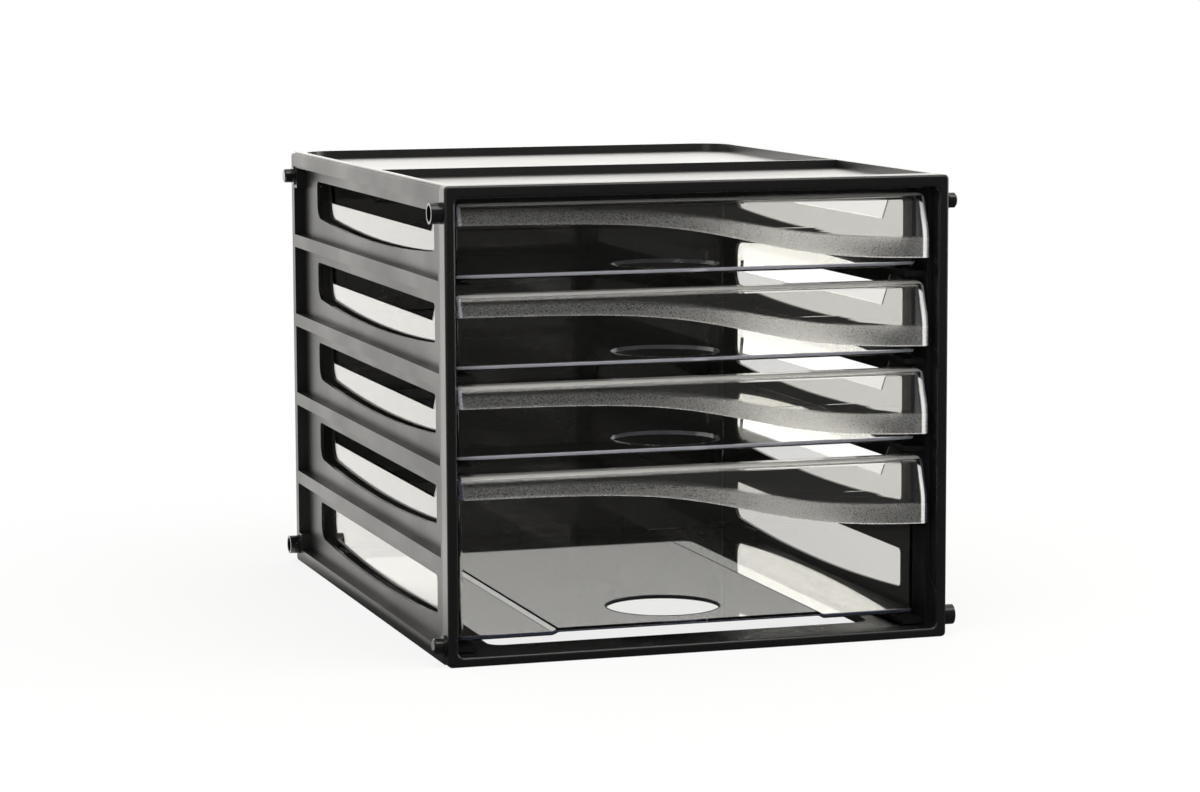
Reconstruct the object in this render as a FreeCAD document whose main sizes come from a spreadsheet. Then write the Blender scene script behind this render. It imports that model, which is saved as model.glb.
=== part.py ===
"""Desktop drawer cabinet: a black moulded case on five tiers with four clear slide-out drawers.

Part frame: millimetres, +X to the right, +Y from the front to the back, +Z up.  The origin is the
bottom centre of the case.  Every driving dimension is a cell of the sheet called Size.
"""
import FreeCAD
import Part
import Sketcher
import math
import os

DRIVING_SIZES = [
    # the case as a whole
    ("case_width", 284.0),
    ("case_depth", 365.0),
    ("case_height", 255.0),
    # how far cutting and joining profiles run past the faces that they meet
    ("overrun", 1.0),
    # one-piece ring around the front opening
    ("frame_depth", 11.0),
    ("frame_side", 5.8),
    ("frame_top", 6.8),
    ("frame_bottom", 5.3),
    ("frame_outer_corner", 2.5),
    ("frame_inner_corner", 3.0),
    ("frame_edge_round", 1.6),
    # ribbed side panels, each with five recessed bays and a window in every bay
    ("panel_thickness", 8.0),
    ("panel_corner", 2.5),
    ("panel_edge_round", 1.2),
    ("front_stile", 3.0),
    ("back_stile", 7.6),
    ("bay_count", 5),
    ("first_bay", 8.2),
    ("rib_height", 7.75),
    ("top_rail", 9.3),
    ("bay_recess", 6.0),
    ("window_length", 276.0),
    ("window_head", 6.8),
    ("window_front_sill", 13.0),
    ("window_rear_sill", 12.7),
    ("window_sag", 4.9),
    ("window_corner", 3.0),
    ("window_rear_corner", 9.0),
    # runners inside the side panels, and what stops and guides the drawers on them
    ("first_floor", 10.0),
    ("drawer_headroom", 3.4),
    ("drawer_gap", 7.2),
    ("runner_width", 12.0),
    ("runner_thickness", 2.5),
    ("runner_play", 0.4),
    ("stop_height", 6.0),
    ("stop_length", 3.0),
    ("stop_gap", 0.6),
    ("guide_length", 22.0),
    ("guide_height", 9.5),
    ("guide_play", 0.8),
    ("guide_rear", 36.0),
    # top, bottom and back panels
    ("rim_inset", 2.0),
    ("rim_width", 3.3),
    ("side_top_drop", 1.0),
    ("tray_depth", 4.7),
    ("tray_corner", 20.0),
    ("bar_from_front", 156.5),
    ("bar_width", 2.6),
    ("bottom_thickness", 4.6),
    ("bottom_rail_side", 24.0),
    ("bottom_rail_end", 21.5),
    ("bottom_corner", 8.0),
    ("bottom_recess", 2.4),
    ("bottom_foot", 6.0),
    ("bottom_lip", 2.0),
    ("back_thickness", 2.5),
    ("back_inset", 2.0),
    # plugs and sockets that link one cabinet to the next
    ("link_from_end", 7.7),
    ("link_from_top", 14.5),
    ("link_from_bottom", 11.0),
    ("link_reach", 6.5),
    ("link_flange_radius", 5.8),
    ("link_flange", 1.2),
    ("plug_radius", 4.2),
    ("plug_chamfer", 0.8),
    ("socket_radius", 5.6),
    ("socket_play", 0.1),
    ("shank_radius", 2.9),
    ("shank_length", 4.0),
    ("shank_play", 0.1),
    ("boss_margin", 1.4),
    # clear drawers
    ("drawer_setback", 20.5),
    ("drawer_length", 315.0),
    ("drawer_side_gap", 2.6),
    ("drawer_wall", 2.2),
    ("drawer_corner", 3.0),
    ("drawer_base_round", 2.8),
    ("side_height", 23.0),
    ("front_ramp", 33.0),
    ("front_ramp_run", 14.0),
    ("rear_tab", 30.0),
    ("rear_tab_run", 5.0),
    ("skid_height", 1.6),
    ("skid_width", 4.5),
    ("skid_inset", 3.2),
    ("skid_end", 12.0),
    ("finger_hole_radius", 30.0),
    ("finger_hole_from_front", 44.0),
    ("deep_hole_radius", 31.8),
    ("deep_hole_from_front", 49.0),
    ("raised_floor_width", 150.0),
    ("raised_floor", 2.0),
    ("raised_floor_run", 3.5),
    # pull along the drawer's front edge, whose lower edge runs in a wave
    ("lip_gap", 0.5),
    ("lip_wall", 2.0),
    ("lip_top_setback", 12.0),
    ("lip_front_setback", 4.1),
    ("lip_slope_height", 21.0),
    ("lip_shoulder", 5.0),
    ("lip_bulge", 25.0),
    ("lip_drop_left", 11.3),
    ("lip_drop_right", 35.7),
    ("deep_lip_drop_right", 37.0),
    ("lip_wave_centre", 28.5),
    ("lip_wave_length", 27.0),
    ("lip_corner_left", 3.0),
    ("lip_corner_right", 4.8),
]
LIP_STATIONS = 31
TOLERANCE = 0.01

document = FreeCAD.newDocument("drawer_cabinet")
sheet = document.addObject("Spreadsheet::Sheet", "Size")
for row, (name, number) in enumerate(DRIVING_SIZES, start=1):
    sheet.set(f"A{row}", name)
    sheet.set(f"B{row}", str(number))
    sheet.setAlias(f"B{row}", name)
document.recompute()

# Places that several pieces share, as expressions of the sheet's cells
FRONT = "-Size.case_depth / 2"
BACK = "Size.case_depth / 2"
OUTER = "Size.case_width / 2"
INNER = "(Size.case_width / 2 - Size.panel_thickness)"
BEHIND_FRAME = "(-Size.case_depth / 2 + Size.frame_depth)"
DECK = "(Size.case_height - Size.frame_top)"
WALL_FRONT = "(-Size.case_depth / 2 + Size.drawer_setback)"
WALL_BACK = f"({WALL_FRONT} + Size.drawer_length)"
DRAWER_HALF = f"({INNER} - Size.drawer_side_gap)"
BAY_HEIGHT = ("((Size.case_height - Size.first_bay - Size.top_rail"
              " - Size.rib_height * (Size.bay_count - 1)) / Size.bay_count)")
BAY_PITCH = f"({BAY_HEIGHT} + Size.rib_height)"
TIER_PITCH = (f"(({DECK} - Size.drawer_headroom + Size.drawer_gap"
              " - Size.first_floor) / Size.bay_count)")
DRAWER_HEIGHT = f"({TIER_PITCH} - Size.drawer_gap)"
FIRST_RUNNER = "(Size.first_floor - Size.skid_height - Size.runner_play)"
LINK_HEIGHTS = {"bottom": "Size.link_from_bottom", "top": "(Size.case_height - Size.link_from_top)"}
LINK_DEPTHS = {"front": f"({FRONT} + Size.link_from_end)", "back": f"({BACK} - Size.link_from_end)"}


def value(expression):
    """The number that an expression of the sheet's cells gives."""
    return float(sheet.evalExpression(expression))


def start_body(name):
    body = document.addObject("PartDesign::Body", name)
    body.Label = name
    document.recompute()
    return body


def start_sketch(body, name, role, offset="0"):
    """An empty sketch on one of the body's own origin planes, moved along its normal."""
    sketch = body.newObject("Sketcher::SketchObject", name)
    plane = next(item for item in body.Origin.OriginFeatures if item.Role == role)
    sketch.AttachmentSupport = [(plane, "")]
    sketch.MapMode = "FlatFace"
    sketch.setExpression("AttachmentOffset.Base.z", offset)
    return sketch


def bind_point(sketch, geometry, point, place):
    """Tie a sketch point's two coordinates to two expressions."""
    for kind, expression in zip(("DistanceX", "DistanceY"), place):
        number = sketch.addConstraint(
            Sketcher.Constraint(kind, -1, 1, geometry, point, value(expression)))
        sketch.setExpression(f"Constraints[{number}]", expression)


def add_outline(sketch, places, sag=None):
    """A closed outline through the places, anticlockwise.  With sag its first edge is an arc."""
    first = sketch.GeometryCount
    corners = [FreeCAD.Vector(value(x), value(y), 0) for x, y in places]
    for index, corner in enumerate(corners):
        following = corners[(index + 1) % len(corners)]
        if sag and index == 0:
            middle = (corner + following) / 2 - FreeCAD.Vector(0, value(sag), 0)
            sketch.addGeometry(Part.Arc(corner, middle, following))
        else:
            sketch.addGeometry(Part.LineSegment(corner, following))
    for index in range(len(corners)):
        following = first + (index + 1) % len(corners)
        sketch.addConstraint(Sketcher.Constraint("Coincident", first + index, 2, following, 1))
    for index, place in enumerate(places):
        bind_point(sketch, first + index, 1, place)
    if sag:
        (x0, y0), (x1, y1) = places[0], places[1]
        half = f"(sqrt(({x1} - ({x0}))^2 + ({y1} - ({y0}))^2) / 2)"
        radius = f"({half}^2 + ({sag})^2) / (2 * ({sag}))"
        number = sketch.addConstraint(Sketcher.Constraint("Radius", first, value(radius)))
        sketch.setExpression(f"Constraints[{number}]", radius)


def add_rectangle(sketch, left, right, low, high):
    add_outline(sketch, [(left, low), (right, low), (right, high), (left, high)])


def add_circle(sketch, centre, radius):
    middle = FreeCAD.Vector(value(centre[0]), value(centre[1]), 0)
    number = sketch.addGeometry(Part.Circle(middle, FreeCAD.Vector(0, 0, 1), value(radius)))
    bind_point(sketch, number, 3, centre)
    constraint = sketch.addConstraint(Sketcher.Constraint("Radius", number, value(radius)))
    sketch.setExpression(f"Constraints[{constraint}]", radius)


def add_feature(body, kind, name, sketch, length, reverse=False):
    """A Pad or a Pocket of a sketch over a bound length."""
    feature = body.newObject(f"PartDesign::{kind}", name)
    feature.Profile = sketch
    feature.Type = "Length"
    feature.Reversed = reverse
    feature.setExpression("Length", length)
    sketch.Visibility = False
    document.recompute()
    return feature


def repeat_upwards(body, name, feature, sketch, pitch, count):
    """Repeat a feature along the upward axis of its upright sketch."""
    pattern = body.newObject("PartDesign::LinearPattern", name)
    pattern.Originals = [feature]
    pattern.Direction = (sketch, ["V_Axis"])
    pattern.Occurrences = int(value(count))
    pattern.setExpression("Occurrences", count)
    pattern.setExpression("Length", f"{pitch} * ({count} - 1)")
    body.Tip = pattern
    document.recompute()
    return pattern


def round_edges(body, name, radius, wanted):
    """Fillet those edges of the body so far for which wanted(edge) holds."""
    base = body.Tip
    names = [f"Edge{number}" for number, edge in enumerate(base.Shape.Edges, start=1) if wanted(edge)]
    fillet = body.newObject("PartDesign::Fillet", name)
    fillet.Base = (base, names)
    fillet.setExpression("Radius", radius)
    document.recompute()
    return fillet


def runs_along(edge, axis):
    """Whether an edge is a straight line along the axis with this index (0 is X)."""
    if edge.Curve.TypeId != "Part::GeomLine":
        return False
    return abs(abs(edge.tangentAt(edge.FirstParameter)[axis]) - 1) < TOLERANCE


def lies_at(edge, axis, place):
    """Whether all of an edge lies at one coordinate on an axis."""
    return all(abs(vertex.Point[axis] - place) < TOLERANCE for vertex in edge.Vertexes)


def make_front_frame():
    """Ring around the drawers' openings, with blind holes for the four front links."""
    body = start_body("front_frame")
    sketch = start_sketch(body, "frame_section", "XZ_Plane", f"-{BEHIND_FRAME}")
    add_rectangle(sketch, f"-{OUTER}", OUTER, "0", "Size.case_height")
    inside = f"({OUTER} - Size.frame_side)"
    add_rectangle(sketch, f"-{inside}", inside, "Size.frame_bottom", DECK)
    add_feature(body, "Pad", "frame_ring", sketch, "Size.frame_depth")
    half = value(OUTER)
    front = value(FRONT)
    round_edges(body, "frame_outer_corners", "Size.frame_outer_corner",
                lambda edge: runs_along(edge, 1) and abs(abs(edge.Vertexes[0].X) - half) < TOLERANCE)
    round_edges(body, "frame_inner_corners", "Size.frame_inner_corner",
                lambda edge: runs_along(edge, 1) and abs(edge.Vertexes[0].X) < value(inside) + TOLERANCE)
    round_edges(body, "frame_front_edges", "Size.frame_edge_round",
                lambda edge: lies_at(edge, 1, front))
    for side, sign in (("left", -1), ("right", 1)):
        holes = start_sketch(body, f"frame_holes_{side}", "YZ_Plane", f"{sign} * {OUTER}")
        for height in LINK_HEIGHTS.values():
            add_circle(holes, (LINK_DEPTHS["front"], height), "Size.shank_radius + Size.shank_play")
        add_feature(body, "Pocket", f"frame_sockets_{side}", holes,
                    "Size.shank_length + Size.shank_play", reverse=sign < 0)
    return body


def window_outline():
    """One window in its bay, level at the top and sagging along the sill."""
    front = "-Size.window_length / 2"
    rear = "Size.window_length / 2"
    head = f"Size.first_bay + {BAY_HEIGHT} - Size.window_head"
    return [(front, "Size.first_bay + Size.window_front_sill"),
            (rear, "Size.first_bay + Size.window_rear_sill"),
            (rear, head),
            (front, head)]


def cut_bays(body):
    """Five recessed bays on the outer face and a window through the floor of each."""
    recess = start_sketch(body, "bay_section", "YZ_Plane", f"-{OUTER}")
    add_rectangle(recess, f"{BEHIND_FRAME} + Size.front_stile", f"{BACK} - Size.back_stile",
                  "Size.first_bay", f"Size.first_bay + {BAY_HEIGHT}")
    bay = add_feature(body, "Pocket", "bay", recess, "Size.bay_recess", reverse=True)
    repeat_upwards(body, "bays", bay, recess, BAY_PITCH, "Size.bay_count")
    opening = start_sketch(body, "window_section", "YZ_Plane", f"-{OUTER}")
    add_outline(opening, window_outline(), sag="Size.window_sag")
    window = add_feature(body, "Pocket", "window", opening, "Size.panel_thickness + Size.overrun", reverse=True)
    repeat_upwards(body, "windows", window, opening, BAY_PITCH, "Size.bay_count")
    end = value("Size.window_length / 2")
    sills = [value(f"Size.first_bay + Size.window_rear_sill + {tier} * {BAY_PITCH}")
             for tier in range(int(value("Size.bay_count")))]

    def at_rear_sill(edge):
        return lies_at(edge, 1, end) and any(lies_at(edge, 2, sill) for sill in sills)

    round_edges(body, "window_rear_corners", "Size.window_rear_corner",
                lambda edge: runs_along(edge, 0) and at_rear_sill(edge))
    round_edges(body, "window_corners", "Size.window_corner",
                lambda edge: runs_along(edge, 0) and abs(abs(edge.Vertexes[0].Y) - end) < TOLERANCE)


def add_link_bosses(body):
    """Pads that fill the bays' rear corners behind the two rear links."""
    near = f"{LINK_DEPTHS['back']} - Size.link_flange_radius - Size.boss_margin"
    beyond = f"{BACK} - Size.back_stile / 2"
    pads = start_sketch(body, "boss_section", "YZ_Plane", f"-{OUTER}")
    reach = "(Size.link_flange_radius + Size.boss_margin)"
    add_rectangle(pads, near, beyond, "Size.first_bay / 2", f"{LINK_HEIGHTS['bottom']} + {reach}")
    top_of_bays = "(Size.case_height - Size.top_rail)"
    add_rectangle(pads, near, beyond, f"{LINK_HEIGHTS['top']} - {reach}", f"{top_of_bays} + Size.overrun")
    add_feature(body, "Pad", "bosses", pads, "Size.bay_recess + Size.overrun")
    holes = start_sketch(body, "boss_holes", "YZ_Plane", f"-{OUTER}")
    for height in LINK_HEIGHTS.values():
        add_circle(holes, (LINK_DEPTHS["back"], height), "Size.shank_radius + Size.shank_play")
    add_feature(body, "Pocket", "boss_sockets", holes, "Size.shank_length + Size.shank_play",
                reverse=True)


def add_runners(body):
    """Ledges that carry the drawers, each with an end stop and a side guide at the rear."""
    tiers = [0] + list(range(2, int(value("Size.bay_count"))))
    rear = f"{WALL_BACK} + Size.stop_gap + Size.stop_length"
    ledges = start_sketch(body, "runner_section", "YZ_Plane", f"-{INNER}")
    stops = start_sketch(body, "stop_section", "YZ_Plane", f"-{INNER}")
    guides = start_sketch(body, "guide_section", "YZ_Plane", f"-{INNER}")
    for tier in tiers:
        level = f"{FIRST_RUNNER} + {tier} * {TIER_PITCH}"
        add_rectangle(ledges, f"{BEHIND_FRAME} + Size.front_stile", rear,
                      f"{level} - Size.runner_thickness", level)
        add_rectangle(stops, f"{WALL_BACK} + Size.stop_gap", rear,
                      f"{level} - Size.runner_thickness", f"{level} + Size.stop_height")
        add_rectangle(guides, f"{WALL_BACK} - Size.guide_rear - Size.guide_length",
                      f"{WALL_BACK} - Size.guide_rear",
                      f"{level} - Size.runner_thickness", f"{level} + Size.guide_height")
    add_feature(body, "Pad", "runners", ledges, "Size.runner_width")
    add_feature(body, "Pad", "runner_stops", stops, "Size.runner_width")
    add_feature(body, "Pad", "runner_guides", guides, "Size.drawer_side_gap - Size.guide_play")


def make_left_panel():
    """Ribbed side panel; its top edge is a step that the top panel sits in."""
    body = start_body("left_side_panel")
    blank = start_sketch(body, "panel_section", "YZ_Plane", f"-{OUTER}")
    add_rectangle(blank, BEHIND_FRAME, BACK, "0", DECK)
    add_feature(body, "Pad", "panel_blank", blank, "Size.panel_thickness")
    skirt = start_sketch(body, "skirt_section", "YZ_Plane", f"-{OUTER}")
    add_rectangle(skirt, BEHIND_FRAME, BACK, f"{DECK} - Size.overrun", "Size.case_height - Size.side_top_drop")
    add_feature(body, "Pad", "panel_skirt", skirt, "Size.rim_inset")
    back = value(BACK)
    round_edges(body, "panel_back_corners", "Size.panel_corner",
                lambda edge: runs_along(edge, 0) and lies_at(edge, 1, back)
                and abs(edge.Vertexes[0].Z - value(DECK)) > TOLERANCE)
    outer = value(f"-{OUTER}")
    front = value(BEHIND_FRAME)
    round_edges(body, "panel_outer_edges", "Size.panel_edge_round",
                lambda edge: lies_at(edge, 0, outer) and not lies_at(edge, 1, front))
    cut_bays(body)
    add_link_bosses(body)
    add_runners(body)
    return body


def make_right_panel(left_panel):
    mirror = document.addObject("Part::Mirroring", "right_side_panel")
    mirror.Source = left_panel
    mirror.Normal = FreeCAD.Vector(1, 0, 0)
    mirror.Label = "right_side_panel"
    return mirror


def make_top_panel():
    """Lid with two shallow trays, parted by a thin bar; the rear tray's back corners are round."""
    body = start_body("top_panel")
    half = f"({OUTER} - Size.rim_inset)"
    blank = start_sketch(body, "lid_section", "XY_Plane", DECK)
    add_rectangle(blank, f"-{half}", half, BEHIND_FRAME, BACK)
    add_feature(body, "Pad", "lid_blank", blank, "Size.frame_top")
    inside = f"({half} - Size.rim_width)"
    bar = f"({FRONT} + Size.bar_from_front)"
    trays = start_sketch(body, "tray_section", "XY_Plane", "Size.case_height")
    add_rectangle(trays, f"-{inside}", inside, f"{BEHIND_FRAME} + Size.rim_width", bar)
    add_rectangle(trays, f"-{inside}", inside, f"{bar} + Size.bar_width", f"{BACK} - Size.rim_width")
    add_feature(body, "Pocket", "trays", trays, "Size.tray_depth")
    rear = value(f"{BACK} - Size.rim_width")
    round_edges(body, "tray_corners", "Size.tray_corner",
                lambda edge: runs_along(edge, 2) and lies_at(edge, 1, rear))
    back = value(BACK)
    round_edges(body, "lid_back_corners", "Size.panel_corner",
                lambda edge: runs_along(edge, 2) and lies_at(edge, 1, back))
    return body


def bottom_rectangle(inset_side, inset_end):
    """Left, right, front and rear of a rectangle inset from the bottom panel's edges."""
    return (f"-{INNER} + {inset_side}", f"{INNER} - {inset_side}",
            f"{BEHIND_FRAME} + {inset_end}", f"{BACK} - {inset_end}")


def make_bottom_panel():
    """Flat ring of four rails round a large opening, hollowed underneath between foot and lip."""
    body = start_body("bottom_panel")
    ring = start_sketch(body, "ring_section", "XY_Plane")
    add_rectangle(ring, *bottom_rectangle("0", "0"))
    add_rectangle(ring, *bottom_rectangle("Size.bottom_rail_side", "Size.bottom_rail_end"))
    add_feature(body, "Pad", "ring_of_rails", ring, "Size.bottom_thickness")
    hollow = start_sketch(body, "ring_hollow", "XY_Plane")
    add_rectangle(hollow, *bottom_rectangle("Size.bottom_foot", "Size.bottom_foot"))
    add_rectangle(hollow, *bottom_rectangle("(Size.bottom_rail_side - Size.bottom_lip)",
                                            "(Size.bottom_rail_end - Size.bottom_lip)"))
    add_feature(body, "Pocket", "ring_recess", hollow, "Size.bottom_recess", reverse=True)
    side = value(f"{INNER} - Size.bottom_rail_side")
    round_edges(body, "opening_corners", "Size.bottom_corner",
                lambda edge: runs_along(edge, 2) and abs(abs(edge.Vertexes[0].X) - side) < TOLERANCE)
    return body


def make_back_panel():
    body = start_body("back_panel")
    sheet_section = start_sketch(body, "back_section", "XZ_Plane", f"-({BACK} - Size.back_inset)")
    add_rectangle(sheet_section, f"-{INNER}", INNER, "Size.bottom_thickness", DECK)
    add_feature(body, "Pad", "back_sheet", sheet_section, "Size.back_thickness")
    return body


def link_profile(kind):
    """Half section of a link about its own axis: shank, flange, then plug or bored socket."""
    shank = [("-Size.shank_length", "0"), ("-Size.shank_length", "Size.shank_radius"),
             ("0", "Size.shank_radius"), ("0", "Size.link_flange_radius"),
             ("Size.link_flange", "Size.link_flange_radius")]
    if kind == "plug":
        return shank + [("Size.link_flange", "Size.plug_radius"),
                        ("Size.link_reach - Size.plug_chamfer", "Size.plug_radius"),
                        ("Size.link_reach", "Size.plug_radius - Size.plug_chamfer"),
                        ("Size.link_reach", "0")]
    bore = "Size.plug_radius + Size.socket_play"
    return shank + [("Size.link_flange", "Size.socket_radius"),
                    ("Size.link_reach", "Size.socket_radius"),
                    ("Size.link_reach", bore),
                    ("Size.link_flange", bore),
                    ("Size.link_flange", "0")]


def make_link(side, end, level):
    """A plug or socket at one corner of a side; the two kinds alternate around the corners."""
    left = side == "left"
    kind = "plug" if (end == "front") == (level == "bottom") else "socket"
    if not left:
        kind = "socket" if kind == "plug" else "plug"
    body = start_body(f"link_{kind}_{side}_{end}_{level}")
    sketch = start_sketch(body, "link_section", "XZ_Plane")
    add_outline(sketch, link_profile(kind)[::-1])
    turned = body.newObject("PartDesign::Revolution", "link_turned")
    turned.Profile = sketch
    turned.ReferenceAxis = (sketch, ["H_Axis"])
    turned.Angle = 360.0
    body.Placement.Rotation = FreeCAD.Rotation(FreeCAD.Vector(0, 0, 1), 180 if left else 0)
    body.setExpression("Placement.Base.x", f"-{OUTER}" if left else OUTER)
    body.setExpression("Placement.Base.y", LINK_DEPTHS[end])
    body.setExpression("Placement.Base.z", LINK_HEIGHTS[level])
    document.recompute()
    return body


def make_tub(name, height, raised):
    """A drawer's tray: low sides that rise to the front wall and to a tab at the rear."""
    body = start_body(name)
    blank = start_sketch(body, "tub_section", "XY_Plane")
    add_rectangle(blank, f"-{DRAWER_HALF}", DRAWER_HALF, WALL_FRONT, WALL_BACK)
    add_feature(body, "Pad", "tub_blank", blank, height)
    round_edges(body, "tub_corners", "Size.drawer_corner", lambda edge: runs_along(edge, 2))
    round_edges(body, "tub_base_edges", "Size.drawer_base_round", lambda edge: lies_at(edge, 2, 0))
    top = value(height)
    base = body.Tip
    shell = body.newObject("PartDesign::Thickness", "tub_shell")
    open_face = next(f"Face{number}" for number, face in enumerate(base.Shape.Faces, start=1)
                     if abs(face.CenterOfMass.z - top) < TOLERANCE)
    shell.Base = (base, [open_face])
    shell.setExpression("Value", "Size.drawer_wall")
    shell.Reversed = True
    body.Tip = shell
    document.recompute()
    low = f"({height} - {DRAWER_HEIGHT} + Size.side_height)"
    sides = start_sketch(body, "side_section", "YZ_Plane", f"-{DRAWER_HALF} - Size.overrun")
    ramp_top = f"({WALL_FRONT} + Size.front_ramp)"
    tab_foot = f"({WALL_BACK} - Size.rear_tab - Size.rear_tab_run)"
    add_outline(sides, [(f"{ramp_top} + Size.front_ramp_run", low),
                        (tab_foot, low),
                        (f"{tab_foot} + Size.rear_tab_run", f"{height} + Size.overrun"),
                        (ramp_top, f"{height} + Size.overrun")])
    add_feature(body, "Pocket", "side_cuts", sides, f"2 * ({DRAWER_HALF} + Size.overrun)", reverse=True)
    if raised:
        raise_floor(body)
        add_floor_details(body, "Size.deep_hole_radius", "Size.deep_hole_from_front")
    else:
        add_floor_details(body, "Size.finger_hole_radius", "Size.finger_hole_from_front")
    return body


def raise_floor(body):
    """Lift the middle of the floor as a flat bridge with slanted flanks between two channels."""
    half = "Size.raised_floor_width / 2"
    foot = f"({half} + Size.raised_floor_run)"
    for name, kind, level, reach in (("bridge", "Pad", "Size.drawer_wall", "Size.drawer_wall / 2"),
                                     ("bridge_recess", "Pocket", "0", "-Size.overrun")):
        top = f"{level} + Size.raised_floor"
        bottom = f"{level} - Size.drawer_wall / 2" if kind == "Pad" else "-Size.overrun"
        section = start_sketch(body, f"{name}_section", "XZ_Plane", f"-({WALL_FRONT} + {reach})")
        add_outline(section, [(f"-{foot}", bottom), (foot, bottom), (foot, level), (half, top),
                              (f"-{half}", top), (f"-{foot}", level)])
        add_feature(body, kind, name, section, f"Size.drawer_length - 2 * ({reach})",
                    reverse=kind == "Pad")


def add_floor_details(body, hole_radius, hole_from_front):
    """The finger hole and the two skids that slide on the runners."""
    hole = start_sketch(body, "hole_section", "XY_Plane", "-Size.overrun")
    add_circle(hole, ("0", f"{WALL_FRONT} + {hole_from_front}"), hole_radius)
    add_feature(body, "Pocket", "finger_hole", hole,
                "Size.drawer_wall + Size.raised_floor + 2 * Size.overrun", reverse=True)
    skids = start_sketch(body, "skid_section", "XY_Plane", "Size.drawer_wall / 2")
    outer = f"({DRAWER_HALF} - Size.skid_inset)"
    inner = f"({outer} - Size.skid_width)"
    front = f"{WALL_FRONT} + Size.skid_end"
    rear = f"{WALL_BACK} - Size.skid_end"
    add_rectangle(skids, inner, outer, front, rear)
    add_rectangle(skids, f"-{outer}", f"-{inner}", front, rear)
    add_feature(body, "Pad", "skids", skids, "Size.skid_height + Size.drawer_wall / 2", reverse=True)


def wave_drop(x, drop_right):
    """How far the pull's lower edge lies below its top at x: little on the left, much on the right."""
    left = value("Size.lip_drop_left")
    way = (x - value("Size.lip_wave_centre")) / value("Size.lip_wave_length")
    return left + (drop_right - left) / (1 + math.exp(-way))


def lip_outline(inset, drop_right):
    """Corners (y, z) of the pull's section, or with an inset those of the finger space inside it."""
    back = value(WALL_FRONT) + (0 if inset else value("Size.drawer_wall"))
    edge_of_top = value(f"{FRONT} + Size.lip_top_setback")
    front = value(f"{FRONT} + Size.lip_front_setback")
    slant = math.atan2(edge_of_top - front, value("Size.lip_slope_height"))
    knee = edge_of_top + inset * (1 - math.sin(slant)) / math.cos(slant)
    waist = -inset - (knee - front - inset) / math.tan(slant)
    foot = -drop_right - value("2 * Size.overrun") - inset
    return [(back, -inset), (knee, -inset), (front + inset, waist), (front + inset, foot), (back, foot)]


def lip_blank(inset, drop_right):
    """The pull's rounded form, or that of its finger space, before the wave is cut."""
    half = value(f"{INNER} - Size.lip_gap") - inset
    outline = lip_outline(inset, drop_right)
    corners = [FreeCAD.Vector(-half, y, z) for y, z in outline]
    solid = Part.Face(Part.makePolygon(corners + corners[:1])).extrude(FreeCAD.Vector(2 * half, 0, 0))
    back, foot = outline[4]
    for size, (_, level) in (("Size.lip_bulge", outline[2]), ("Size.lip_shoulder", outline[1])):
        turns = [edge for edge in solid.Edges if runs_along(edge, 0) and lies_at(edge, 2, level)
                 and not lies_at(edge, 1, back)]
        solid = solid.makeFillet(value(size) - inset, turns)
    for size, place in (("Size.lip_corner_left", -half), ("Size.lip_corner_right", half)):
        ends = [edge for edge in solid.Edges if lies_at(edge, 0, place)
                and not lies_at(edge, 1, back) and not lies_at(edge, 2, foot)]
        solid = solid.makeFillet(value(size) - inset / 2, ends)
    return solid


def below_wave(drop_right):
    """Everything under the pull's lower edge."""
    half = value(OUTER)
    count = LIP_STATIONS - 1
    along = [half * (2 * number / count - 1) for number in range(LIP_STATIONS)]
    front, deep = value(FRONT), -2 * drop_right
    curve = Part.BSplineCurve()
    curve.interpolate([FreeCAD.Vector(x, front, -wave_drop(x, drop_right)) for x in along])
    ends = [curve.EndPoint, FreeCAD.Vector(half, front, deep), FreeCAD.Vector(-half, front, deep), curve.StartPoint]
    under = Part.Wire([curve.toShape()] + [Part.makeLine(*pair) for pair in zip(ends, ends[1:])])
    return Part.Face(under).extrude(FreeCAD.Vector(0, value("2 * Size.drawer_setback"), 0))


def make_lip(name, height, drop_right):
    """The pull: a hollow rolled edge, open underneath, along the top of the drawer's front."""
    lip = document.addObject("Part::Feature", name)
    finger_space = lip_blank(value("Size.lip_wall"), drop_right)
    lip.Shape = lip_blank(0, drop_right).cut(finger_space).cut(below_wave(drop_right))
    lip.setExpression("Placement.Base.z", height)
    return lip


def make_drawer(name, tier, height):
    """One clear moulding: a tray with the pull on its front edge."""
    raised = tier == 0
    tub = make_tub(f"{name}_tub", height, raised)
    drop_right = "Size.deep_lip_drop_right" if raised else "Size.lip_drop_right"
    lip = make_lip(f"{name}_lip", height, value(drop_right))
    drawer = document.addObject("Part::MultiFuse", name)
    drawer.Shapes = [tub, lip]
    drawer.Label = name
    drawer.setExpression("Placement.Base.z", f"Size.first_floor + {tier} * {TIER_PITCH}")
    document.recompute()
    return drawer


def make_all():
    left_panel = make_left_panel()
    pieces = [make_front_frame(), left_panel, make_right_panel(left_panel),
              make_top_panel(), make_bottom_panel(), make_back_panel()]
    for side in ("left", "right"):
        for end in LINK_DEPTHS:
            for level in LINK_HEIGHTS:
                pieces.append(make_link(side, end, level))
    pieces.append(make_drawer("drawer_deep", 0, f"({DRAWER_HEIGHT} + {TIER_PITCH})"))
    for tier, name in ((2, "drawer_lower"), (3, "drawer_middle"), (4, "drawer_upper")):
        pieces.append(make_drawer(name, tier, DRAWER_HEIGHT))
    document.recompute()
    return pieces


def check(pieces):
    """Stop when any object failed to build or any piece isn't a valid solid."""
    failed = [item.Name for item in document.Objects
              if "Invalid" in item.State or "Error" in item.State]
    if failed:
        raise RuntimeError(f"failed features: {failed}")
    for piece in pieces:
        if piece.Shape.isNull() or not piece.Shape.isValid() or len(piece.Shape.Solids) != 1:
            raise RuntimeError(f"{piece.Label} is not one valid solid")


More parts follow.
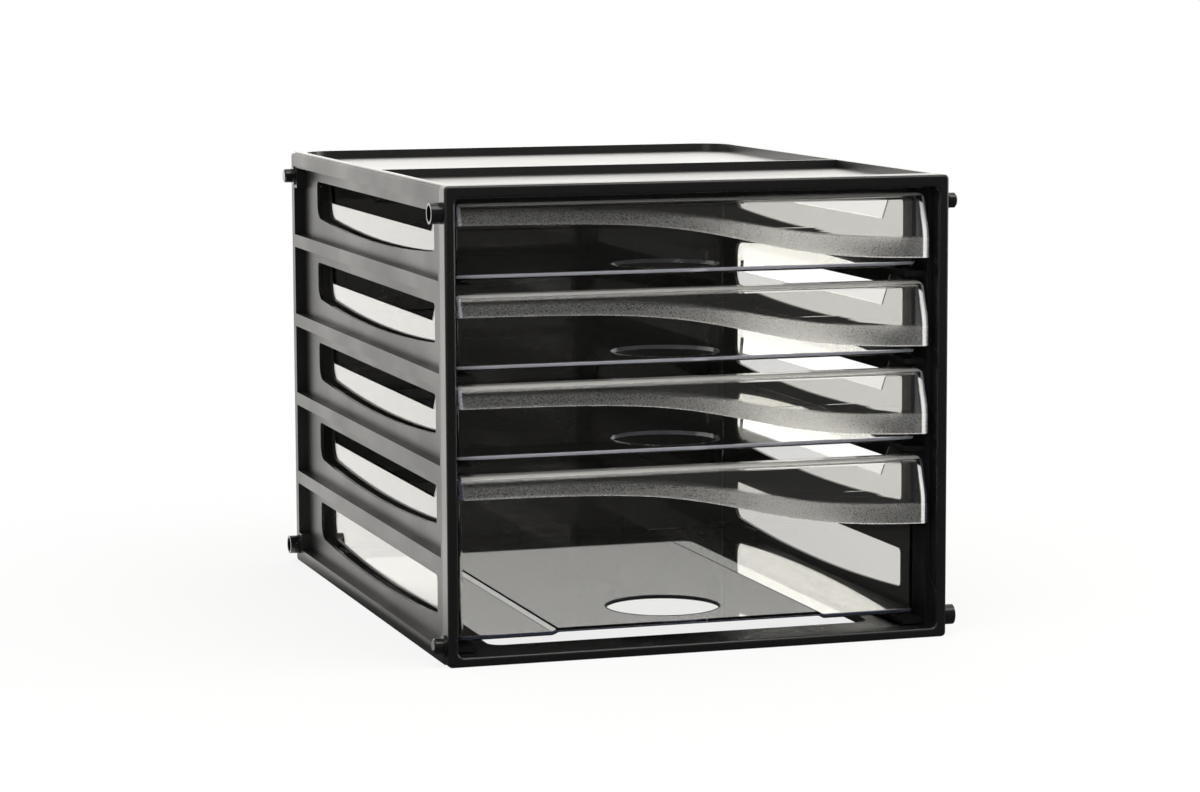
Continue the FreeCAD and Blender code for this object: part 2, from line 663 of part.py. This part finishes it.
def export(pieces):
    os.makedirs("parts", exist_ok=True)
    for piece in pieces:
        piece.Shape.exportStep(f"parts/{piece.Label}.step")
        box = piece.Shape.BoundBox
        print(f"{piece.Label}: volume {piece.Shape.Volume:.0f} mm3, "
              f"x {box.XMin:.1f} {box.XMax:.1f}, y {box.YMin:.1f} {box.YMax:.1f}, "
              f"z {box.ZMin:.1f} {box.ZMax:.1f}")


all_pieces = make_all()
check(all_pieces)
export(all_pieces)
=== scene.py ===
"""Looks of the drawer cabinet: finishes of its black case and clear drawers, stage, light and camera.

Units are metres in the part's own frame: +X to the right, +Y from the front to the back, +Z up.
"""

import math

import bpy
from mathutils import Matrix, Vector


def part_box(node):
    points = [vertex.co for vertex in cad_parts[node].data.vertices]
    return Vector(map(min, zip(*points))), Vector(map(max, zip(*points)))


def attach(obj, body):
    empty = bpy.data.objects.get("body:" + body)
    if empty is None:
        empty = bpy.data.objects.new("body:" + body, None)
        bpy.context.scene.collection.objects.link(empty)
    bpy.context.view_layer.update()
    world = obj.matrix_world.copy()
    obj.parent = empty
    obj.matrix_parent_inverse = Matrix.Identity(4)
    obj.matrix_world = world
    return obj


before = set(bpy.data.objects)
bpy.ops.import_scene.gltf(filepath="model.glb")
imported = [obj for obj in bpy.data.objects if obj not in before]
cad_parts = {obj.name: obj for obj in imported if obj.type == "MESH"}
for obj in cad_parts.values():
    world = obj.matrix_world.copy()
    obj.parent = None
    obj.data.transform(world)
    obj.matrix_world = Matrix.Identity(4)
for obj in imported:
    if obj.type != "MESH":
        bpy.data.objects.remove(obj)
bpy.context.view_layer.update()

# Camera of the photograph: place, view direction in degrees and lens for a 36 mm wide sensor
CAMERA_PLACE = (-0.6186, -1.9648, 0.3716)
CAMERA_AZIMUTH = -17.470
CAMERA_ELEVATION = 7.009
CAMERA_ROLL = -0.233
CAMERA_LENS = 106.48
SENSOR_WIDTH = 36.0

MILLIMETRE = 0.001

# Wave that the lower edge of each drawer's pull follows, from high on the left to low on the right:
# its middle, its length, and how far the edge lies below the pull's top at either end
WAVE_CENTRE = 28.5 * MILLIMETRE
WAVE_LENGTH = 27 * MILLIMETRE
DROP_LEFT = 11.3 * MILLIMETRE
DROP_RIGHT = 35.7 * MILLIMETRE
DEEP_DROP_RIGHT = 37.0 * MILLIMETRE

# Brushed band above that edge: its height, how softly its top ends, and the back of the face that has it
BAND_LEFT = 7.0 * MILLIMETRE
BAND_RIGHT = 11.5 * MILLIMETRE
SOFT_LEFT = 2.2 * MILLIMETRE
SOFT_RIGHT = 0.7 * MILLIMETRE
BAND_BACK = -172.0 * MILLIMETRE
BAND_ROUGHNESS = (0.22, 0.32)
# Haze of the band's frosting, as a share of opaque white: the frosting's own haze at the left, raised to
# the right by painted light that stands for light shining through the band from behind
BAND_HAZE_LEFT = 0.026
BAND_HAZE_AND_PAINTED_LIGHT_RIGHT = 0.07

# Places of the drawers' edges, and how much painted highlight each carries: a share of opaque white that
# takes the place of clear plastic
WALL_FRONT = -162.0 * MILLIMETRE
PULL_HALF = 133.5 * MILLIMETRE
TUB_HALF = 131.4 * MILLIMETRE
EDGE_SOFTNESS = 0.3 * MILLIMETRE
WAVE_HIGHLIGHT_LEFT = 0.06
WAVE_HIGHLIGHT_RIGHT = 0.42
TOP_HIGHLIGHT = 0.36
END_HIGHLIGHT = 0.28
CORNER_HIGHLIGHT = 0.85

# Finger holes, and the edges of the front wall and of the hole: the share of them made opaque, which is a
# painted bluish highlight on the shallow drawers and a dark blue line on the deep one, and what their blue
# edge tint takes away
HOLE = {"radius": 30.0 * MILLIMETRE, "place": -118.0 * MILLIMETRE}
DEEP_HOLE = {"radius": 31.8 * MILLIMETRE, "place": -113.0 * MILLIMETRE}
FOOT = {"glow": 0.36, "Red": 0.24, "Green": 0.22, "Blue": 0.06}
DEEP_FOOT = {"glow": 0.40, "Red": 0.90, "Green": 0.88, "Blue": 0.78}

CLEAR_COLOUR = {"Red": 0.99, "Green": 0.985, "Blue": 0.96}
CLEAR_ROUGHNESS = 0.015
POLYSTYRENE_IOR = 1.59
ABSORBED_COLOUR = (0.60, 0.62, 0.80, 1)
ABSORPTION = 7.0

BLACK = (0.006, 0.006, 0.0063, 1)
BLACK_IOR = 1.5

# Finishes of the black plastic: lowest and highest roughness, weight and roughness of the clear skin
GLOSS = (0.22, 0.30, 0.0, 0.1)
SATIN = (0.34, 0.42, 0.0, 0.1)
SHEEN = (0.38, 0.46, 1.0, 0.3)
POLISH = (0.10, 0.15, 0.0, 0.1)

# Strip under the lid
STOP_HALF = 128.7 * MILLIMETRE
STOP_FRONT = -158.6 * MILLIMETRE
STOP_BACK = -156.8 * MILLIMETRE
STOP_HEIGHT = 4.2 * MILLIMETRE

WARM_WHITE = (1.0, 0.985, 0.945)
PAPER = (0.9, 0.9, 0.9, 1)
FLOOR_SIZE = 12
STUDIO_LEVEL = 0.75

# Lamps: name, place, point that it faces, width, height, watts, and whether clear plastic shows it.
# The floor panels face a hair off straight up, which keeps their width along X.
LAMPS = (
    ("softbox_key", (0.1, -0.78, 1.68), (0, -0.17, 0.2), 1.6, 1.0, 12, True),
    ("softbox_left", (-1.1, -1.15, 0.55), (-0.1, -0.15, 0.15), 0.5, 0.9, 2.5, True),
    ("softbox_right", (1.3, -0.45, 0.45), (0.1, -0.15, 0.15), 0.5, 0.8, 6.3, True),
    ("softbox_back_low", (0.3, 2.3, 0.125), (0.3, 0, 0.125), 3.2, 0.25, 2.5, False),
    ("softbox_back_high", (0.3, 2.3, 0.775), (0.3, 0, 0.7), 3.2, 1.05, 10.5, True),
    ("floor_panel_near", (-0.645, 0.50, 0.004), (-0.645, 0.5001, 1), 1.0, 1.3, 2.65, True),
    ("floor_panel_far", (-0.85, 1.65, 0.004), (-0.85, 1.6501, 1), 1.0, 1.0, 2.35, True),
)


class Shader:
    """A node tree with short ways to add nodes and link them."""

    def __init__(self, tree):
        self.tree = tree
        self.nodes = tree.nodes
        self.nodes.clear()

    def add(self, kind, settings=None, **inputs):
        """A node of this kind; inputs are values or sockets, with _ for a space in a socket's name."""
        node = self.nodes.new(f"ShaderNode{kind}")
        for name, setting in (settings or {}).items():
            setattr(node, name, setting)
        for name, given in inputs.items():
            self.feed(node, name.replace("_", " "), given)
        return node

    def feed(self, node, name, given):
        """Put a value or a link into the socket of this name."""
        socket = node.inputs[name]
        if isinstance(given, bpy.types.NodeSocket):
            self.tree.links.new(given, socket)
        else:
            socket.default_value = given

    def math(self, operation, first, second=0.0):
        """The result of one operation on values or sockets."""
        node = self.nodes.new("ShaderNodeMath")
        node.operation = operation
        for socket, given in zip(node.inputs, (first, second)):
            if isinstance(given, bpy.types.NodeSocket):
                self.tree.links.new(given, socket)
            else:
                socket.default_value = given
        return node.outputs[0]

    def ramp(self, given, low, high, to_low=0.0, to_high=1.0):
        """A smooth step from to_low to to_high while the given value goes from low to high."""
        node = self.add("MapRange", {"interpolation_type": "SMOOTHSTEP"}, Value=given)
        limits = (("From Min", low), ("From Max", high), ("To Min", to_low), ("To Max", to_high))
        for name, number in limits:
            node.inputs[name].default_value = number
        return node.outputs[0]

    def strip(self, given, low, high):
        """1 between low and high, and 0 outside them, with soft edges."""
        return self.math("MULTIPLY", self.ramp(given, low - EDGE_SOFTNESS, low + EDGE_SOFTNESS),
                         self.ramp(given, high - EDGE_SOFTNESS, high + EDGE_SOFTNESS, 1.0, 0.0))

    def largest(self, *given):
        """The largest of several values."""
        largest = given[0]
        for other in given[1:]:
            largest = self.math("MAXIMUM", largest, other)
        return largest

    def noise(self, vector, scale, detail=3.0):
        """Cloudy noise around 0.5."""
        return self.add("TexNoise", Vector=vector, Scale=scale, Detail=detail).outputs[0]

    def stretched(self, vector, stretch):
        """Coordinates scaled along each axis."""
        return self.add("Mapping", Vector=vector, Scale=stretch).outputs[0]


def new_material(name):
    """A new material and the shader that fills it."""
    material = bpy.data.materials.new(name)
    material.use_nodes = True
    return material, Shader(material.node_tree)


def make_black_plastic(name, low, high, coat, coat_roughness):
    """Black polystyrene, its roughness unevenly between low and high, with a clear skin if coat isn't 0."""
    material, shader = new_material(f"black_polystyrene_{name}")
    place = shader.add("TexCoord").outputs["Object"]
    cloud = shader.noise(place, 14.0)
    fine = shader.noise(place, 900.0, 2.0)
    gloss = shader.ramp(cloud, 0.3, 0.7, low, high)
    bump = shader.add("Bump", Strength=0.2, Distance=0.01 * MILLIMETRE, Height=fine)
    finish = shader.add("BsdfPrincipled", Base_Color=BLACK, Roughness=gloss, Normal=bump.outputs[0],
                        IOR=BLACK_IOR, Coat_Weight=coat, Coat_Roughness=coat_roughness, Coat_IOR=BLACK_IOR)
    shader.add("OutputMaterial", Surface=finish.outputs[0])
    return material


def across(shader, share, left, right):
    """A value that goes from left to right along with the wave."""
    return shader.math("ADD", left, shader.math("MULTIPLY", share, right - left))


def pull_front(shader, parts):
    """1 on the pull's front face, and 0 behind it."""
    return shader.ramp(parts["Y"], BAND_BACK - 0.5 * MILLIMETRE, BAND_BACK, 1.0, 0.0)


def hole_rim(shader, parts, bottom, hole):
    """1 around the finger hole in the drawer's floor."""
    away = shader.math("SUBTRACT", parts["Y"], hole["place"])
    radius = shader.math("SQRT", shader.math("ADD", shader.math("MULTIPLY", away, away),
                                             shader.math("MULTIPLY", parts["X"], parts["X"])))
    ring = shader.strip(radius, hole["radius"] - 1 * MILLIMETRE, hole["radius"] + 0.6 * MILLIMETRE)
    low = shader.ramp(parts["Z"], bottom + 5 * MILLIMETRE, bottom + 6 * MILLIMETRE, 1.0, 0.0)
    return shader.math("MULTIPLY", ring, low)


def painted_edge_highlights(shader, parts, share, rise, bottom, top, hole, foot_opaque_share):
    """Painted highlights along the moulding's edges, as shares of opaque white, and which edges are tinted:
    front wall's edges, hole's rim.
    """
    on_pull = pull_front(shader, parts)
    on_front = shader.ramp(parts["Y"], WALL_FRONT + 1 * MILLIMETRE, WALL_FRONT + 3 * MILLIMETRE, 1.0, 0.0)
    side = shader.math("ABSOLUTE", parts["X"])
    wave = shader.strip(rise, -1 * MILLIMETRE, 0.55 * MILLIMETRE)
    rim = shader.strip(parts["Z"], top - 1.5 * MILLIMETRE, top + 1 * MILLIMETRE)
    ends = shader.strip(side, PULL_HALF - 0.5 * MILLIMETRE, PULL_HALF + 1 * MILLIMETRE)
    corner = shader.strip(parts["X"], PULL_HALF - 5.0 * MILLIMETRE, PULL_HALF - 2.4 * MILLIMETRE)
    foot = shader.strip(parts["Z"], bottom + 2.6 * MILLIMETRE, bottom + 4.4 * MILLIMETRE)
    tub_ends = shader.strip(side, TUB_HALF - 0.7 * MILLIMETRE, TUB_HALF + 1 * MILLIMETRE)
    tub_front = shader.math("MULTIPLY", shader.largest(foot, tub_ends), on_front)
    tinted = shader.math("MAXIMUM", tub_front, hole_rim(shader, parts, bottom, hole))
    # painted highlights: lines of opaque white along the pull's lower edge, its top, its ends and its right
    # corner
    painted_highlight_edges = ((wave, on_pull, across(shader, share, WAVE_HIGHLIGHT_LEFT, WAVE_HIGHLIGHT_RIGHT)),
               (rim, on_front, TOP_HIGHLIGHT), (ends, on_pull, END_HIGHLIGHT), (corner, on_pull, CORNER_HIGHLIGHT))
    painted_highlights = [shader.math("MULTIPLY", shader.math("MULTIPLY", edge, face), glow)
                 for edge, face, glow in painted_highlight_edges]
    # tinted edges made opaque in the given share: a painted bluish highlight on the shallow drawers, a dark
    # blue line on the deep one
    return shader.largest(*painted_highlights, shader.math("MULTIPLY", tinted, foot_opaque_share)), tinted


def make_clear_plastic(name, bottom, top, drop_right, hole, tint):
    """Clear polystyrene of one drawer, brushed matt on the band along its pull's lower edge."""
    material, shader = new_material(f"clear_polystyrene_{name}")
    place = shader.add("TexCoord").outputs["Object"]
    parts = shader.add("SeparateXYZ", Vector=place).outputs
    wave = shader.math("DIVIDE", shader.math("SUBTRACT", parts["X"], WAVE_CENTRE), -WAVE_LENGTH)
    share = shader.math("DIVIDE", 1.0, shader.math("ADD", 1.0, shader.math("EXPONENT", wave)))
    drop = across(shader, share, DROP_LEFT, drop_right)
    rise = shader.math("ADD", shader.math("SUBTRACT", parts["Z"], top), drop)
    over_band = shader.math("SUBTRACT", rise, across(shader, share, BAND_LEFT, BAND_RIGHT))
    softness = across(shader, share, SOFT_LEFT, SOFT_RIGHT)
    below_top = shader.ramp(shader.math("DIVIDE", over_band, softness), -1.0, 1.0, 1.0, 0.0)
    band = shader.math("MULTIPLY", below_top, pull_front(shader, parts))
    grain = shader.noise(shader.stretched(place, (1.0, 1.0, 1.6)), 1100.0, 2.0)
    matt = shader.ramp(grain, 0.3, 0.7, *BAND_ROUGHNESS)
    roughness = shader.math("ADD", CLEAR_ROUGHNESS, shader.math("MULTIPLY", band, matt))
    moulded = shader.noise(place, 35.0, 1.0)
    bump = shader.add("Bump", Strength=0.3, Distance=0.02 * MILLIMETRE, Height=moulded)
    # the band's haze, painted stronger to the right where light shines through it from behind
    haze_and_painted_light = across(shader, share, BAND_HAZE_LEFT, BAND_HAZE_AND_PAINTED_LIGHT_RIGHT)
    speckle = shader.math("MULTIPLY", shader.ramp(grain, 0.35, 0.65, 0.4, 1.6), haze_and_painted_light)
    frost_and_painted_light = shader.math("MULTIPLY", band, speckle)
    # painted highlights along the edges as opaque white, and which edges are tinted
    edges, tinted = painted_edge_highlights(shader, parts, share, rise, bottom, top, hole, tint["glow"])
    # where the band's haze with its painted light and the painted edge highlights lie, the plastic turns
    # opaque in that share
    clearness = shader.math("SUBTRACT", 1.0, shader.math("MAXIMUM", frost_and_painted_light, edges))
    # blue tint of the thick edges, taken from the clear colour where the edges are tinted
    channels = {part: shader.math("SUBTRACT", clear, shader.math("MULTIPLY", tinted, tint[part]))
                for part, clear in CLEAR_COLOUR.items()}
    colour = shader.add("CombineColor", **channels).outputs[0]
    finish = shader.add("BsdfPrincipled", Base_Color=colour, Roughness=roughness,
                        Transmission_Weight=clearness, Normal=bump.outputs[0], IOR=POLYSTYRENE_IOR)
    depth = shader.add("VolumeAbsorption", Color=ABSORBED_COLOUR, Density=ABSORPTION)
    shader.add("OutputMaterial", Surface=finish.outputs[0], Volume=depth.outputs[0])
    return material


def show_to_camera(shader):
    """1 for rays from the camera, straight or through clear plastic, and 0 once a surface mirrors them."""
    path = shader.add("LightPath").outputs
    unmirrored = shader.math("LESS_THAN", path["Glossy Depth"], 0.5)
    unscattered = shader.math("LESS_THAN", path["Diffuse Depth"], 0.5)
    direct = shader.math("MULTIPLY", unmirrored, unscattered)
    through = shader.math("MULTIPLY", path["Is Transmission Ray"], direct)
    return shader.math("MAXIMUM", path["Is Camera Ray"], through)


def studio_white(shader, seen):
    """White as the camera sees it, and slightly warm as it lights the object."""
    unseen = shader.math("SUBTRACT", 1.0, seen)
    parts = {name: shader.math("SUBTRACT", 1.0, shader.math("MULTIPLY", unseen, 1 - part))
             for name, part in zip(("Red", "Green", "Blue"), WARM_WHITE)}
    return shader.add("CombineColor", **parts).outputs[0]


def make_floor():
    """Pale floor that keeps the cabinet's shadow; before the cabinet its mirror image is dim, and below the
    cabinet the mirror image carries a painted shadow.
    """
    material, shader = new_material("studio_floor")
    seen = show_to_camera(shader)
    glossy = shader.add("LightPath").outputs["Is Glossy Ray"]
    place = shader.add("TexCoord").outputs["Object"]
    parts = shader.add("SeparateXYZ", Vector=place).outputs
    # painted shadow in the floor's mirror image under the cabinet; before the cabinet the mirror image is
    # dim
    below = shader.ramp(parts["X"], -0.17, -0.13, 0.0, 0.3)
    lit = shader.ramp(shader.math("SUBTRACT", parts["Y"], below), -0.15, 0.1, 0.05, 1.0)
    level = shader.math("MAXIMUM", seen, lit)
    glow = shader.add("Emission", Color=studio_white(shader, seen), Strength=level)
    paper = shader.add("BsdfDiffuse", Color=PAPER)
    distance = shader.add("VectorMath", {"operation": "LENGTH"})
    shader.tree.links.new(place, distance.inputs[0])
    far = shader.ramp(distance.outputs["Value"], 0.2, 0.6, 0.91, 1.0)
    share = shader.math("MAXIMUM", shader.math("MULTIPLY", seen, far), glossy)
    share = shader.math("SUBTRACT", share, shader.math("MULTIPLY", seen, shader.math("SUBTRACT", 1.0, far)))
    mixed = shader.add("MixShader", Fac=share)
    shader.tree.links.new(paper.outputs[0], mixed.inputs[1])
    shader.tree.links.new(glow.outputs[0], mixed.inputs[2])
    shader.add("OutputMaterial", Surface=mixed.outputs[0])
    bpy.ops.mesh.primitive_plane_add(size=FLOOR_SIZE)
    floor = bpy.context.object
    floor.name = "floor"
    floor.data.materials.append(material)


def make_world():
    """White studio whose mirror image is bright behind and above the cabinet and dim elsewhere."""
    world = bpy.data.worlds.new("studio")
    world.use_nodes = True
    bpy.context.scene.world = world
    shader = Shader(world.node_tree)
    seen = show_to_camera(shader)
    glossy = shader.add("LightPath").outputs["Is Glossy Ray"]
    direction = shader.add("SeparateXYZ", Vector=shader.add("TexCoord").outputs["Generated"]).outputs
    behind = shader.ramp(direction["Y"], -0.3, 0.5, 0.15, 1.0)
    overhead = shader.ramp(direction["Z"], 0.5, 0.8)
    mirrored = shader.math("MAXIMUM", behind, overhead)
    spread = shader.math("MULTIPLY", shader.math("SUBTRACT", 1.0, glossy), STUDIO_LEVEL)
    unseen_level = shader.math("ADD", shader.math("MULTIPLY", glossy, mirrored), spread)
    level = shader.math("MAXIMUM", unseen_level, seen)
    light = shader.add("Background", Color=studio_white(shader, seen), Strength=level)
    shader.add("OutputWorld", Surface=light.outputs[0])


def add_lamp(name, place, aim, width, height, watts, through_plastic):
    """A flat lamp that the camera doesn't see."""
    light = bpy.data.lights.new(name, "AREA")
    light.shape = "RECTANGLE"
    light.size = width
    light.size_y = height
    light.energy = watts
    light.color = WARM_WHITE
    lamp = bpy.data.objects.new(name, light)
    lamp.location = place
    lamp.rotation_mode = "QUATERNION"
    lamp.rotation_quaternion = (Vector(aim) - Vector(place)).to_track_quat("-Z", "Y")
    lamp.visible_camera = False
    lamp.visible_transmission = through_plastic
    bpy.context.scene.collection.objects.link(lamp)


def make_camera():
    """The camera of the photograph."""
    azimuth, elevation, roll = (math.radians(a) for a in (CAMERA_AZIMUTH, CAMERA_ELEVATION, CAMERA_ROLL))
    back = Vector((math.sin(azimuth) * math.cos(elevation),
                   -math.cos(azimuth) * math.cos(elevation), math.sin(elevation)))
    level = Vector((math.cos(azimuth), math.sin(azimuth), 0))
    upright = back.cross(level)
    right = math.cos(roll) * level + math.sin(roll) * upright
    up = math.cos(roll) * upright - math.sin(roll) * level
    data = bpy.data.cameras.new("camera")
    data.sensor_fit = "HORIZONTAL"
    data.sensor_width = SENSOR_WIDTH
    data.lens = CAMERA_LENS
    camera = bpy.data.objects.new("camera", data)
    turned = Matrix((right, up, back)).transposed().to_4x4()
    camera.matrix_world = Matrix.Translation(CAMERA_PLACE) @ turned
    bpy.context.scene.collection.objects.link(camera)
    bpy.context.scene.camera = camera


def dress(node, material):
    """Give a CAD node one material."""
    mesh = node.data
    mesh.materials.clear()
    mesh.materials.append(material)


def dress_all():
    """Give every CAD node its finish, and hang the strip under the lid."""
    inner_black = make_black_plastic("gloss", *GLOSS)
    outer_black = make_black_plastic("satin", *SATIN)
    top_black = make_black_plastic("sheen", *SHEEN)
    polished_black = make_black_plastic("polish", *POLISH)
    blacks = {"top_panel": top_black, "left_side_panel": outer_black, "right_side_panel": outer_black}
    shallow = (DROP_RIGHT, HOLE, FOOT)
    deep = (DEEP_DROP_RIGHT, DEEP_HOLE, DEEP_FOOT)
    for name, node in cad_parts.items():
        if name.startswith("drawer"):
            form = deep if name == "drawer_deep" else shallow
            low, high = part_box(name)
            dress(node, make_clear_plastic(name, low.z, high.z, *form))
        elif name.startswith("link"):
            dress(node, polished_black)
        else:
            dress(node, blacks.get(name, inner_black))
    hang_stop(inner_black)


def hang_stop(material):
    """A thin strip under the lid, between the upper drawer's walls, that closes the gap above its front."""
    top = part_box("top_panel")[0].z
    low = Vector((-STOP_HALF, STOP_FRONT, top - STOP_HEIGHT))
    high = Vector((STOP_HALF, STOP_BACK, top))
    bpy.ops.mesh.primitive_cube_add(size=1, location=(low + high) / 2)
    strip = bpy.context.object
    strip.name = "lid_stop_strip"
    strip.scale = high - low
    strip.data.materials.append(material)
    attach(strip, "case")


bpy.context.scene.view_settings.view_transform = "Standard"
make_camera()
make_world()
make_floor()
for lamp in LAMPS:
    add_lamp(*lamp)
dress_all()
